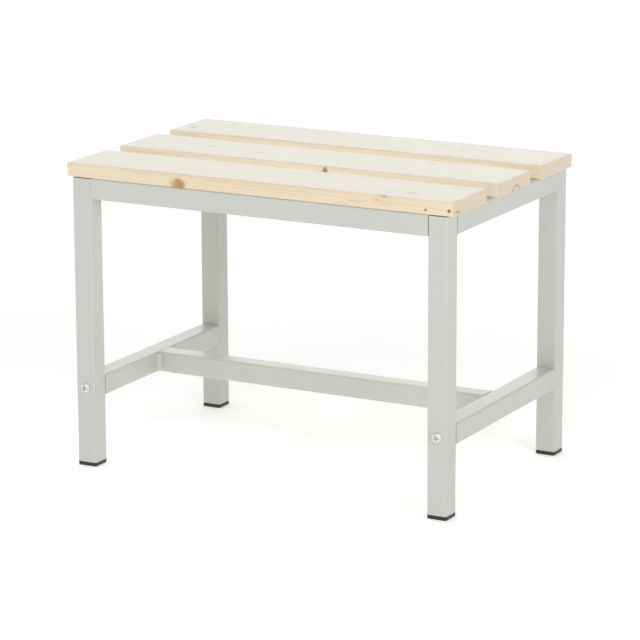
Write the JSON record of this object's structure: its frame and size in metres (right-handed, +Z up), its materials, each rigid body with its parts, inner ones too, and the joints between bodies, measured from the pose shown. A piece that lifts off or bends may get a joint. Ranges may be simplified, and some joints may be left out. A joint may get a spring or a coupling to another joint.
{
  "type": "slatted bench",
  "caption": "Short slatted changing room bench: pine boards with gaps between them on a grey square-tube steel frame with a low H stretcher and plastic foot caps.",
  "frame": {"origin": "on the floor, under the middle of the seat", "axes": "+X along the seat to its right end, +Y to the rear, +Z up"},
  "size_m": [0.6, 0.3916, 0.44],
  "materials": {
    "pine": "planed softwood with a thin clear matt lacquer",
    "grey_paint": "light grey powder coat, satin",
    "zinc_steel": "bright zinc plate",
    "bare_steel": "bare, cut edges",
    "black_plastic": "moulded, satin"
  },
  "bodies": {
    "root": {"centre_stretcher": "grey_paint", "foot_cap_front_left": "black_plastic", "foot_cap_front_right": "black_plastic", "foot_cap_rear_left": "black_plastic", "foot_cap_rear_right": "black_plastic", "frame_weld_beads": "grey_paint", "front_rail": "grey_paint", "left_rail": "grey_paint", "left_stretcher": "grey_paint", "leg_front_left": "grey_paint", "leg_front_right": "grey_paint", "leg_rear_left": "grey_paint", "leg_rear_right": "grey_paint", "rear_rail": "grey_paint", "right_rail": "grey_paint", "right_stretcher": "grey_paint", "slat_front": "pine", "slat_middle": "pine", "slat_rear": "pine", "slat_screws_front": "zinc_steel", "slat_screws_middle": "zinc_steel", "slat_screws_rear": "zinc_steel", "stretcher_end_plate_front_left": "bare_steel", "stretcher_end_plate_front_right": "bare_steel", "stretcher_end_plate_rear_left": "bare_steel", "stretcher_end_plate_rear_right": "bare_steel", "stretcher_screw_front_left": "zinc_steel", "stretcher_screw_front_right": "zinc_steel", "stretcher_screw_rear_left": "zinc_steel", "stretcher_screw_rear_right": "zinc_steel", "stretcher_weld_beads": "grey_paint"}
  },
  "joints": []
}
